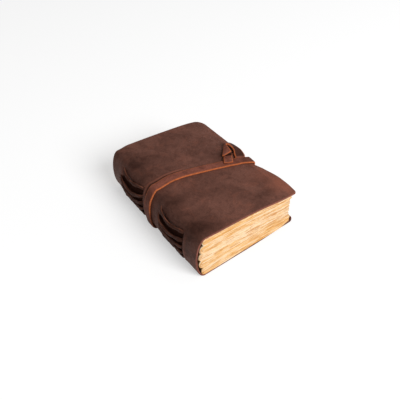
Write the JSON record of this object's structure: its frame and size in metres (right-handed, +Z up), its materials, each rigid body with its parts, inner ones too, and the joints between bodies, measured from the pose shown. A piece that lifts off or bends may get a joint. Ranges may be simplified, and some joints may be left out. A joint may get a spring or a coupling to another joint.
{
  "type": "leather wrap journal",
  "caption": "Thick handmade journal lying shut: soft leather cover laced to folded gatherings of torn-edge leaves along the spine, with a leather strap wound round and tied near the fore edge",
  "frame": {"origin": "middle of the footprint on the surface that the journal lies on", "axes": "+X from the spine to the fore edge, +Y from the tail to the head, +Z up through the front cover"},
  "size_m": [0.1534, 0.188, 0.0645],
  "materials": {
    "cover_leather": "waxed, satin, mottled brown",
    "leaves": "matt, cream with golden brown torn edges",
    "lace_leather": "satin, dark brown",
    "strap_leather": "satin, reddish brown with raw orange edges"
  },
  "bodies": {
    "root": {"cover": "cover_leather", "signature_1": "leaves", "signature_2": "leaves", "signature_3": "leaves", "signature_4": "leaves", "signature_5": "leaves", "lace_1": "lace_leather", "lace_2": "lace_leather", "lace_3": "lace_leather", "lace_4": "lace_leather", "lace_5": "lace_leather", "wrap_strap": "strap_leather"}
  },
  "joints": []
}
